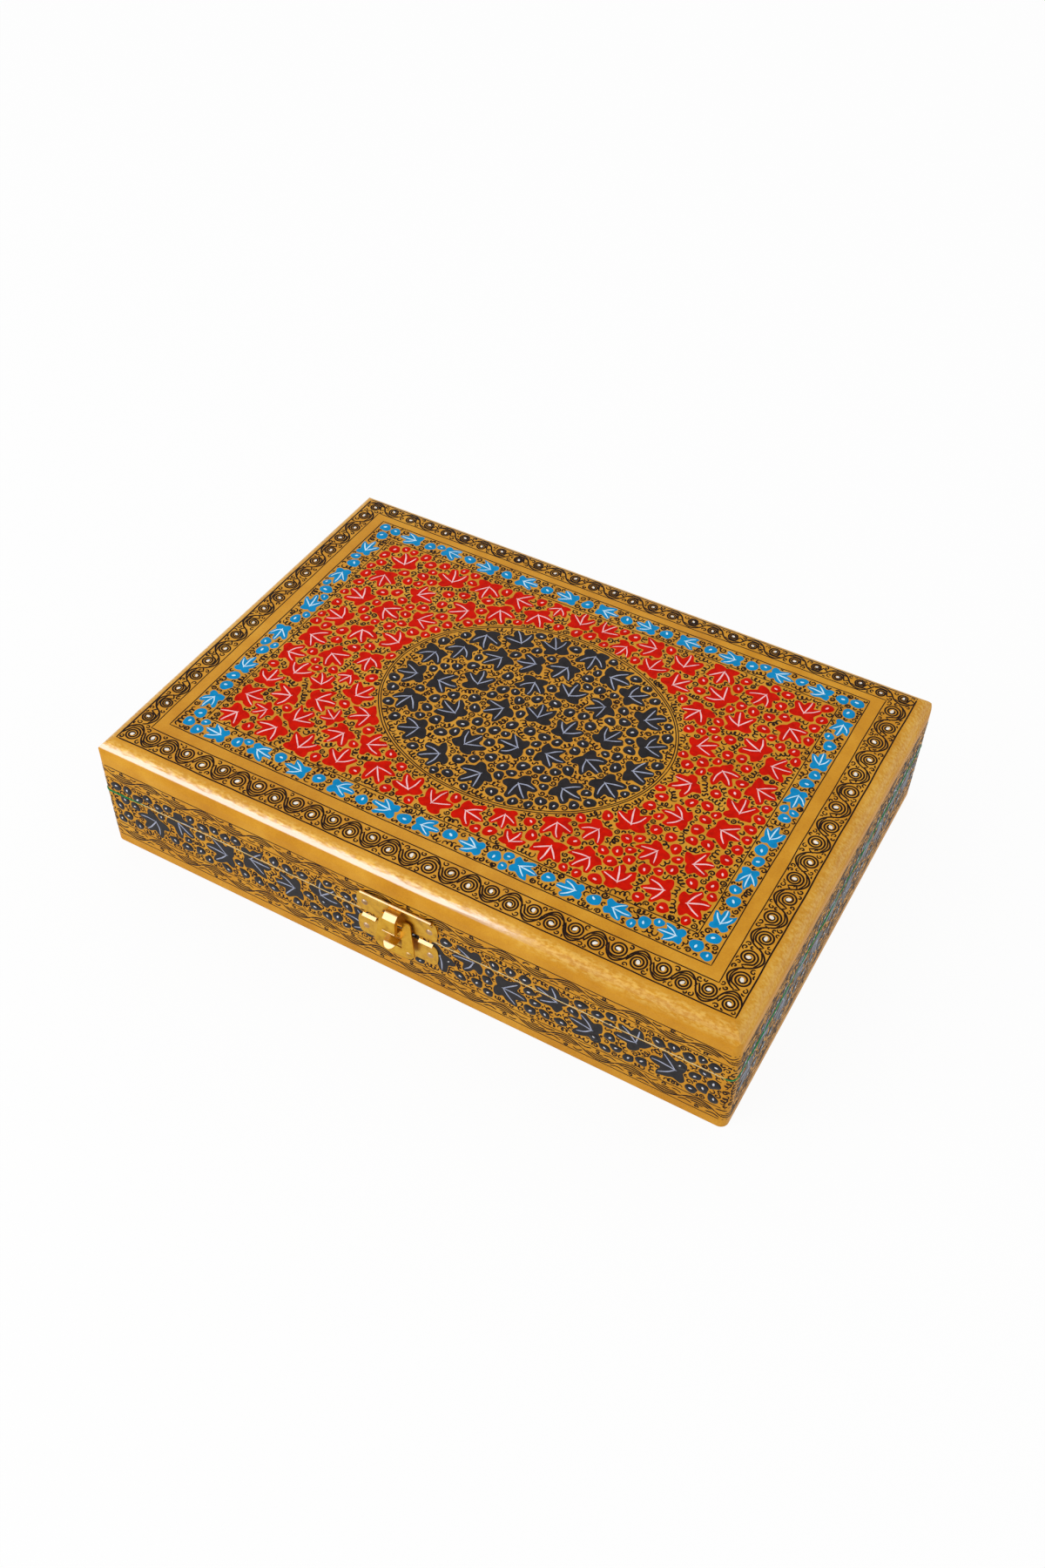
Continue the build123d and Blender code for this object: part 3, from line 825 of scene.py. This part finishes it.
def paintTop():
    d = topDesign
    outer, inner = insetRect(d["borderOuter"]), insetRect(d["borderInner"])
    frameOut, frameIn = insetRect(d["frameOuter"]), insetRect(d["frameInner"])

    # border scroll: the front and back bands run through the corners
    border = layers["border_scroll"]
    ruledRect(border, outer, d["lines"][0])
    ruledRect(border, inner, d["lines"][1])
    gaps = GapMap(outer[:2], outer[2:], lambda x, y: np.minimum(
        rectInside(x, y, outer), -rectInside(x, y, inner)) - 0.25, reach=6.0)
    bands = (
        ((outer[0], (outer[1] + inner[1]) / 2), (1, 0), outer[2] - outer[0], inner[1] - outer[1]),
        (((outer[2] + inner[2]) / 2, inner[1]), (0, 1), inner[3] - inner[1], outer[2] - inner[2]),
        ((outer[2], (outer[3] + inner[3]) / 2), (-1, 0), outer[2] - outer[0], outer[3] - inner[3]),
        (((outer[0] + inner[0]) / 2, inner[3]), (0, -1), inner[3] - inner[1], inner[0] - outer[0]),
    )
    for (start, along, length, width), period in zip(bands, d["scrollPeriod"]):
        scrollBand(border, layers["border_dabs"], gaps, start, along, length, width, period)
    small = ((lambda: penCurl(1.0, pick(0.9, 1.2)), 5000, 0.8, 0.36),
             (lambda: penEss(pick(1.0, 1.3)), 6000, 0.66, 0.36),
             (lambda: penHook(pick(0.8, 1.3)), 9000, 0.62, 0.36),
             (lambda: penTick(pick(1.1, 1.6)), 9000, 0.58, 0.36))
    count = fillWithPenwork(gaps, border, small, 0.56)
    print("border scroll with", count, "small strokes")

    # blue leaves between the two frame lines
    frameInk = layers["frame_penwork"]
    ruledRect(frameInk, frameOut, d["lines"][2])
    ruledRect(frameInk, frameIn, d["lines"][3])
    gaps = GapMap(frameOut[:2], frameOut[2:], lambda x, y: np.minimum(
        rectInside(x, y, frameOut), -rectInside(x, y, frameIn)) - 0.2, reach=6.0)
    middle = [(a + b) / 2 for a, b in zip(frameOut, frameIn)]
    flip = 0
    for side, (a, b) in enumerate(rectSides(middle)):
        length = np.linalg.norm(b - a)
        direction = (b - a) / length
        heading = math.atan2(direction[1], direction[0])
        count = int(round((length - 8) / d["blueSpacing"][side % 2]))
        step = (length - 8) / count
        for k in range(count):
            flip += 1
            centre = a + direction * (4 + (k + 0.5) * step + pick(-1.2, 1.2))
            centre = centre + pick(-0.25, 0.25, 2)
            angle = heading + (math.pi if flip % 2 else 0)
            drawLeaf(centre, [angle + pick(-0.2, 0.2) for _ in range(4)],
                     d["blueReach"] * pick(0.95, 1.04), layers["blue_leaves"], layers["blue_veins"], gaps,
                     0.3, (1.08, 0.80))
    berries = fillBerries(gaps, d["blueBerries"], layers["blue_leaves"], layers["blue_veins"])
    fillWithPenwork(gaps, frameInk, penPasses(0.6))
    print("blue frame with", berries, "berries")

    # the oval's double line, then black leaves inside and red ones outside
    cx, cy, a, b = d["oval"]
    fieldInk = layers["field_penwork"]
    turn = np.linspace(0, 2 * math.pi, 260)
    for grow in (0.0, -d["ovalStep"]):
        wander = 0.12 * np.sin(turn * 5 + grow) + 0.08 * np.sin(turn * 13)
        swell = grow + wander
        line = np.stack([cx + (a + swell) * np.cos(turn), cy + (b + swell) * np.sin(turn)], 1)
        addStroke(fieldInk, line, d["ovalLine"], 0.01, 0.6)

    def outside(x, y):
        return np.minimum(rectInside(x, y, frameIn), -ovalInside(x, y, d["oval"])) - 0.15

    def within(x, y):
        return ovalInside(x, y, (cx, cy, a - d["ovalStep"], b - d["ovalStep"])) - 0.15

    for region, design, leaf, vein, core, ink in (
            (outside, d["red"], "red_leaves", "red_veins", None, "field_penwork"),
            (within, d["black"], "black_leaves", "black_veins", "black_dabs", "oval_penwork")):
        count, reach, berrySizes = design
        gaps = GapMap(frameIn[:2], frameIn[2:], region)
        for place in spreadPoints(region, frameIn[:2], frameIn[2:], count, d["leafMargin"]):
            angles = pick(0, 2 * math.pi) + np.arange(12) * math.pi / 6
            drawLeaf(place, angles, reach * pick(0.96, 1.05), layers[leaf], layers[vein], gaps)
        berries = fillBerries(gaps, berrySizes, layers[leaf], layers[vein], layers.get(core))
        marks = fillWithPenwork(gaps, layers[ink], penPasses(1.5))
        print(leaf, "with", berries, "berries and", marks, "pen marks")


wallDesign = {
    "lines": (4.3, 10.8, 34.8, 40.5),   # heights of the ruled lines
    "line": 0.45,             # and their width
    "leafSpacing": 15.0,
    "leafReach": 8.8,
    "highLow": (26.8, 19.6),  # heights of every other leaf
    "vinePeriod": 12.3,
    "berries": (2.3, 1.7, 0.42, 330),
    "corner": 8.7,            # mm each side of a corner that the leaves leave to the pen
    "clear": 7.5,             # mm from a corner to the nearest leaf's middle
}
cornerArc = math.pi / 2 * cornerRadius
halfFront = halfLength - cornerRadius
halfSide = halfDepth - cornerRadius
halfRound = 2 * halfFront + 2 * halfSide + 2 * cornerArc


def paintWalls():
    d = wallDesign
    ink = layers["wall_penwork"]
    z0, z1, z2, z3 = d["lines"]
    for z in d["lines"]:
        ruledLine(ink, np.array((-halfRound, z)), np.array((halfRound, z)), d["line"])
    gaps = GapMap((-halfRound, z0), (halfRound, z3), lambda x, y: np.minimum(
        np.minimum(y - z0, z3 - y), np.minimum(abs(y - z1), abs(y - z2))) - 0.25, reach=6.0)
    for low, high in ((z0, z1), (z2, z3)):
        start = (-halfRound, (low + high) / 2)
        vineBand(ink, gaps, start, (1, 0), 2 * halfRound, high - low, d["vinePeriod"])
    corners = [side * (halfFront + cornerArc / 2) for side in (-1, 1)]
    corners += [side * (halfFront + 1.5 * cornerArc + 2 * halfSide) for side in (-1, 1)]
    leafBand = (-halfRound, z1), (halfRound, z2)
    held = GapMap(*leafBand, lambda x, y: np.minimum(
        np.minimum(y - z1, z2 - y) - 0.25, np.minimum.reduce([abs(x - c) for c in corners]) - 2.6), reach=6.0)
    count = int(2 * halfRound / d["leafSpacing"])
    for k in range(count):
        u = -halfRound + (k + 0.5) * 2 * halfRound / count + pick(-1.4, 1.4)
        if min(abs(u - c) for c in corners) < d["clear"]:
            continue
        z = d["highLow"][k % 2] + pick(-1.2, 1.2)
        angles = [side + pick(-0.9, 0.9) for side in (0, math.pi) for _ in range(3)]
        drawLeaf((u, z), angles, d["leafReach"] * pick(0.96, 1.06), layers["wall_leaves"],
                 layers["wall_veins"], held)
    berries = fillBerries(held, d["berries"], layers["wall_leaves"], layers["wall_veins"],
                          layers["wall_dabs"], 0.34)
    plain = GapMap(*leafBand, lambda x, y: np.minimum(y - z1, z2 - y) - 0.25, reach=6.0)
    corner = np.minimum.reduce([abs(held.x - c) for c in corners]) < d["corner"]
    held.free = np.where(corner & (held.free < 0), np.minimum(plain.free, 1.2), held.free)
    marks = fillWithPenwork(held, ink, penPasses(2.6))
    arcs = ((lambda: penArc(pick(2.4, 4.0)), 14000, 0.86, 0.56),
            (lambda: penArc(pick(1.4, 2.2)), 14000, 0.86, 0.56))
    gaps.free[np.abs(gaps.y - (z1 + z2) / 2) < (z2 - z1) / 2, :] = 0
    fillWithPenwork(gaps, ink, arcs, 0.6, 0.35)
    print("walls with", berries, "berries and", marks, "pen marks")


# wrapping the flat paint round the box
def wrapTop(p):
    # flat in the middle, and down over the rolled edge that is nearest
    r = topRound
    past = np.clip(np.abs(p[:, :2]) - (halfLength - r, halfDepth - r), 0, r)
    over = past.max(1)
    lean = over / r
    alongX = past[:, 0] >= past[:, 1]
    outward = np.sign(p[:, :2]) * np.stack([alongX, ~alongX], 1)
    drop = r - np.sqrt(r * r - over * over)
    return np.column_stack([p[:, :2] + outward * (lean * p[:, 2])[:, None],
                            height - drop + np.sqrt(1 - lean * lean) * p[:, 2]])


def wrapWalls(p):
    # u runs along the walls from the middle of the front, the same way to the left and to the right
    r = cornerRadius
    u = np.abs(p[:, 0])
    side = np.clip(u - halfFront - cornerArc, 0, 2 * halfSide)
    back = np.maximum(u - halfFront - 2 * cornerArc - 2 * halfSide, 0)
    turn = (np.clip(u - halfFront, 0, cornerArc) +
            np.clip(u - halfFront - cornerArc - 2 * halfSide, 0, cornerArc)) / r
    x = np.minimum(u, halfFront) - back + (r + p[:, 2]) * np.sin(turn)
    y = side - halfSide - (r + p[:, 2]) * np.cos(turn)
    return np.stack([np.where(p[:, 0] < 0, -x, x), y, p[:, 1]], 1)


def makePiece(name, bm, material, body):
    mesh = bpy.data.meshes.new(name)
    bm.to_mesh(mesh)
    bm.free()
    mesh.materials.append(material)
    piece = bpy.data.objects.new(name, mesh)
    scene.collection.objects.link(piece)
    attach(piece, body)
    return piece


def buildPaint(name, layer, wrap, body="lid", keep=None):
    # keep = (level, side): only the part below (-1) or above (1) that level stays
    bm = bmesh.new()
    verts = [bm.verts.new(v) for v in np.vstack(layer.verts)]
    for face, smooth in zip(layer.faces, layer.smooth):
        bm.faces.new([verts[i] for i in face]).smooth = smooth
    if keep is not None:
        level, side = keep
        bmesh.ops.triangulate(bm, faces=[face for face in bm.faces if len(face.verts) > 4])
        bmesh.ops.bisect_plane(bm, geom=bm.verts[:] + bm.edges[:] + bm.faces[:], plane_co=(0, level, 0),
                               plane_no=(0, side, 0), clear_inner=True)
    bm.verts.ensure_lookup_table()
    flat = np.array([v.co for v in bm.verts])
    for v, co in zip(bm.verts, wrap(flat) * mm):
        v.co = co
    piece = makePiece("paint_" + name, bm, paints[layer.colour], body)
    print(piece.name, len(piece.data.polygons), "faces")


def buildPaintwork():
    onWalls = [name for name in layers if name.startswith("wall_")]
    for name in layers:
        if name not in onWalls:
            buildPaint(name, layers[name], wrapTop)
    for body, keep in (("lid", (lidRim + 0.05, 1)), ("base", (baseRim - 0.05, -1))):
        for name in onWalls:
            buildPaint(body + "_" + name, layers[name], wrapWalls, body, keep)


# velvet pieces: soft closed forms in the places of the plain lining sheets
cloth = {
    "inside": (121.0, 82.9),      # half length and half depth of the compartment
    "insideRadius": 1.6,
    "crown": 0.35,                # how far a panel swells in its middle
    "wave": 0.12,                 # unevenness of the glued cloth
    "sideStep": 3.0,
    "cornerSteps": 7,
    "panelStep": 3.0,
    "panelGap": 0.9,              # between a panel's edge and the walls
    "swellOver": 2.2,             # how far in from its edge it has swollen
    "edgeHeight": 0.55,           # of its thickness
    "fill": 0.9,                  # taut: thin cloth glued flat
}


def roundedLoop(halfX, halfY, radius):
    # anticlockwise from the front left, the same number of points for every size
    acrossCount = int(2 * halfLength / cloth["sideStep"])
    depthCount = int(2 * halfDepth / cloth["sideStep"])
    x, y = halfX - radius, halfY - radius
    ends = (((-x, -halfY), (x, -halfY), (x, -y)), ((halfX, -y), (halfX, y), (x, y)),
            ((x, halfY), (-x, halfY), (-x, y)), ((-halfX, y), (-halfX, -y), (-x, -y)))
    points = []
    for side, (start, end, centre) in enumerate(ends):
        count = (acrossCount, depthCount)[side % 2]
        t = np.linspace(0, 1, count, endpoint=False)[:, None]
        points.append(np.asarray(start) + t * (np.asarray(end) - np.asarray(start)))
        turn = np.linspace(0, math.pi / 2, cloth["cornerSteps"], endpoint=False)
        turn = math.radians(90 * side - 90) + turn
        points.append(np.stack([centre[0] + radius * np.cos(turn), centre[1] + radius * np.sin(turn)], 1))
    return np.vstack(points)


def unevenness(places, size):
    # slow smooth bumps from a few crossed waves
    x, y = places[:, 0], places[:, 1]
    phase = pick(0, 6.28, 4)
    return size * (0.4 * np.sin(x / 11 + phase[0]) * np.sin(y / 9 + phase[1]) +
                   0.35 * np.sin((x + y) / 7 + phase[2]) + 0.25 * np.sin((x - 1.4 * y) / 4.3 + phase[3]))


def softRing(name, half, radius, rows, body, node=None, material=velvetGreen):
    # rows = (inset, level) round the section, each a number or an array along the loop
    bm = bmesh.new()
    rings = []
    outline = roundedLoop(half[0], half[1], radius)
    for inset, level in rows:
        sway = unevenness(outline, cloth["wave"])
        middle = float(np.mean(inset))
        loop = roundedLoop(half[0] - middle, half[1] - middle, max(radius - middle, 0.25))
        further = middle + 1
        inward = roundedLoop(half[0] - further, half[1] - further, max(radius - further, 0.2)) - loop
        inward /= np.linalg.norm(inward, axis=1)[:, None]
        loop = loop + inward * (inset - middle)[:, None] if np.ndim(inset) else loop
        z = np.broadcast_to(level, len(loop)) + 0.3 * sway
        rings.append([bm.verts.new((px * mm, py * mm, pz * mm)) for (px, py), pz in zip(loop, z)])
    for ring, following in zip(rings, rings[1:] + rings[:1]):
        for i in range(len(ring)):
            j = (i + 1) % len(ring)
            bm.faces.new((ring[i], ring[j], following[j], following[i])).smooth = True
    bmesh.ops.recalc_face_normals(bm, faces=bm.faces)
    softPiece(name, bm, body, node, material)


def softPiece(name, bm, body, node=None, material=velvetGreen):
    piece = makePiece(name, bm, material, body)
    if node:
        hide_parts(node)


def softPanel(name, backZ, frontZ, body, node):
    # a glued panel that swells from its back plane towards the open side
    halfX, halfY = [half - cloth["panelGap"] for half in cloth["inside"]]
    xs = np.linspace(-halfX, halfX, int(2 * halfX / cloth["panelStep"]))
    ys = np.linspace(-halfY, halfY, int(2 * halfY / cloth["panelStep"]))
    gx, gy = np.meshgrid(xs, ys)
    flat = np.stack([gx.ravel(), gy.ravel()], 1)
    rim = np.minimum(halfX - np.abs(flat[:, 0]), halfY - np.abs(flat[:, 1]))
    swell = 1 - np.exp(-rim / cloth["swellOver"])
    edge = cloth["edgeHeight"]
    out = math.copysign(1, frontZ - backZ)
    wave = out * (cloth["crown"] * swell + unevenness(flat, cloth["wave"]) * swell)
    z = backZ + (frontZ - backZ) * (edge + (1 - edge) * swell) + wave
    bm = bmesh.new()
    top = [bm.verts.new((px * mm, py * mm, pz * mm)) for (px, py), pz in zip(flat, z)]
    grid = np.arange(len(top)).reshape(len(ys), len(xs))
    corners = grid[:-1, :-1], grid[:-1, 1:], grid[1:, 1:], grid[1:, :-1]
    for quad in zip(*[corner.ravel() for corner in corners]):
        bm.faces.new([top[k] for k in quad]).smooth = True
    border = [*grid[0], *grid[1:, -1], *grid[-1, -2::-1], *grid[-2:0:-1, 0]]
    back = [bm.verts.new((top[k].co.x, top[k].co.y, backZ * mm)) for k in border]
    for i, k in enumerate(border):
        following = (i + 1) % len(border)
        bm.faces.new((top[k], back[i], back[following], top[border[following]]))
    bm.faces.new(back)
    bmesh.ops.recalc_face_normals(bm, faces=bm.faces)
    softPiece(name, bm, body, node)


def peeping():
    # how much of the rim's velvet is squeezed out of the seam, 0 to 1, along the loop
    loop = roundedLoop(halfLength, halfDepth, cornerRadius)
    fromLeft, fromRight = loop[:, 0] + halfLength, halfLength - loop[:, 0]
    front = 0.95 * np.exp(-fromLeft / 16) + 0.9 * np.exp(-fromRight / 6)
    edge = halfDepth - 0.5 * cornerRadius
    amount = np.where(loop[:, 1] < -edge, front, np.where(loop[:, 1] > edge, 0.45, 0.8))
    return np.clip(amount + 1.6 * unevenness(loop, 0.12), 0, 1)


def buildLinings():
    floorZ, lidZ = nodeBox("base_floor_lining"), nodeBox("lid_top_lining")
    softPanel("velvet_base_floor", float(floorZ[0][2]), float(floorZ[1][2]), "base", "base_floor_lining")
    softPanel("velvet_lid_panel", float(lidZ[1][2]), float(lidZ[0][2]), "lid", "lid_top_lining")
    low, high = float(floorZ[0][2]), baseRim
    rows = ((0.0, low), (0.0, high), (0.15, high + 0.28), (0.6, high + 0.36), (1.05, high + 0.1),
            (1.2, high - 1.2), (1.28, high - 6), (1.3, (low + high) / 2), (1.28, low + 5), (1.2, low + 1.6),
            (1.0, low + 0.4))
    softRing("velvet_base_walls", cloth["inside"], cloth["insideRadius"], rows, "base", "base_wall_lining")
    low, high = lidRim, float(lidZ[1][2])
    rows = ((0.0, high - 0.1), (0.0, low + 0.1), (0.5, low + 0.06), (1.0, low + 0.25), (1.2, low + 1.2),
            (1.28, low + 4), (1.3, (low + high) / 2), (1.28, high - 4), (1.2, high - 1.6), (1.0, high - 0.2))
    softRing("velvet_lid_walls", cloth["inside"], cloth["insideRadius"], rows, "lid", "lid_wall_lining")
    rim, out, radius = baseRim, peeping(), cornerRadius
    half = halfLength, halfDepth
    inner = halfLength - cloth["inside"][0]
    rows = ((inner - 0.2, rim), (inner - 0.2, rim + 0.3), (3.0, rim + 0.42), (1.0, rim + 0.42),
            (0.35 - 0.25 * out, rim + 0.45 + 0.12 * out), (0.3 - 0.62 * out, rim + 0.38 + 0.02 * out),
            (0.3 - 0.72 * out, rim + 0.2 - 0.15 * out), (0.35 - 0.62 * out, rim + 0.05 - 0.35 * out),
            (0.5 - 0.35 * out, rim - 0.3 * out), (1.2, rim))
    softRing("velvet_base_rim", half, radius, rows, "base", "base_rim_lining")
    hidden = 0.06 + 0.5 * np.clip(out - 0.25, 0, 1)
    rows = ((2.5, rim + 0.46), (0.8, rim + 0.52), (hidden, rim + 0.56), (hidden - 0.12, rim + 0.35),
            (hidden, rim + 0.08), (2.5, rim + 0.06))
    softRing("lining_backing_edge", half, radius, rows, "base", material=creamBacking)
    print("velvet linings made")


# floor, light and camera
studio = {
    "camera": (0.1941, -0.3576, 0.4417),
    "forward": (-0.32955, 0.60761, -0.72264),
    "right": (0.86998, 0.49277, 0.01759),
    "lens": 35.374,
    "softboxPower": 3.2,
    "glintPower": 0.4,         # seen only in the varnish and the brass
    "softboxAzimuth": 33.0,     # to the left of straight in front
    "softboxElevation": 28.0,
    "softboxDistance": 1.05,
    "softboxSize": (0.56, 1.1),
    "worldStrength": 0.87,
    "floorSize": 6.0,           # m each way from the middle
    "floorGap": 0.0005,         # m below the box
    "floorGlow": 0.93,          # how much of the floor's colour is plain white, the rest shows the shadow
}


def paleRays(add):
    # camera, mirror and glass rays see the white of the studio
    ray = add("LightPath").outputs
    seen = add("Math", {"operation": "MAXIMUM"}, {0: ray["Is Camera Ray"], 1: ray["Is Glossy Ray"]})
    return add("Math", {"operation": "MAXIMUM"}, {0: seen, 1: ray["Is Transmission Ray"]})


def buildStudio():
    forward = Vector(studio["forward"]).normalized()
    right = Vector(studio["right"])
    right = (right - forward * right.dot(forward)).normalized()
    up = right.cross(forward)
    camera = bpy.data.cameras.new("camera")
    camera.lens = studio["lens"]
    camera.sensor_width = 36
    camera.clip_start, camera.clip_end = 0.01, 50
    viewer = bpy.data.objects.new("camera", camera)
    viewer.matrix_world = Matrix((
        (right.x, up.x, -forward.x, studio["camera"][0]), (right.y, up.y, -forward.y, studio["camera"][1]),
        (right.z, up.z, -forward.z, studio["camera"][2]), (0, 0, 0, 1)))
    scene.collection.objects.link(viewer)
    scene.camera = viewer

    azimuth, elevation = math.radians(studio["softboxAzimuth"]), math.radians(studio["softboxElevation"])
    aim = Vector((-math.sin(azimuth) * math.cos(elevation), -math.cos(azimuth) * math.cos(elevation),
                  math.sin(elevation)))
    for name, power in (("softbox", studio["softboxPower"]), ("softbox_glint", studio["glintPower"])):
        lamp = bpy.data.lights.new(name, "AREA")
        lamp.shape = "RECTANGLE"
        lamp.size, lamp.size_y = studio["softboxSize"]
        lamp.energy = power
        box = bpy.data.objects.new(name, lamp)
        box.location = aim * studio["softboxDistance"] + Vector((0, 0, 0.03))
        box.rotation_euler = aim.to_track_quat("Z", "Y").to_euler()
        box.visible_diffuse = name == "softbox"
        scene.collection.objects.link(box)

    world = bpy.data.worlds.new("white_studio")
    scene.world = world
    world.use_nodes = True
    world.node_tree.nodes.clear()
    add = partial(addNode, world.node_tree)
    fill = add("Background", {"Color": (1, 1, 1, 1), "Strength": studio["worldStrength"]})
    white = add("Background", {"Color": (1, 1, 1, 1), "Strength": 1.0})
    mix = add("MixShader", None, {0: paleRays(add), 1: fill, 2: white})
    add("OutputWorld", None, {"Surface": mix})

    mesh = bpy.data.meshes.new("floor")
    size = studio["floorSize"]
    corners = [(-size, -size, 0), (size, -size, 0), (size, size, 0), (-size, size, 0)]
    mesh.from_pydata(corners, [], [(0, 1, 2, 3)])
    floor = bpy.data.objects.new("floor", mesh)
    floor.location.z = -studio["floorGap"]
    scene.collection.objects.link(floor)
    material, add = startMaterial("white_sweep_paper")   # matt seamless paper
    paper = add("BsdfDiffuse", {"Color": (0.86, 0.86, 0.86, 1)})
    glow = add("Emission", {"Color": (1, 1, 1, 1), "Strength": 1.0})
    seen = add("Math", {"operation": "MULTIPLY", 1: studio["floorGlow"]}, {0: paleRays(add)})
    mix = add("MixShader", None, {0: seen, 1: paper, 2: glow})
    add("OutputMaterial", None, {"Surface": mix})
    mesh.materials.append(material)
    print("studio ready")


dressNodes()
paintTop()
paintWalls()
buildPaintwork()
buildLinings()
buildStudio()
scene.view_settings.view_transform = "Standard"
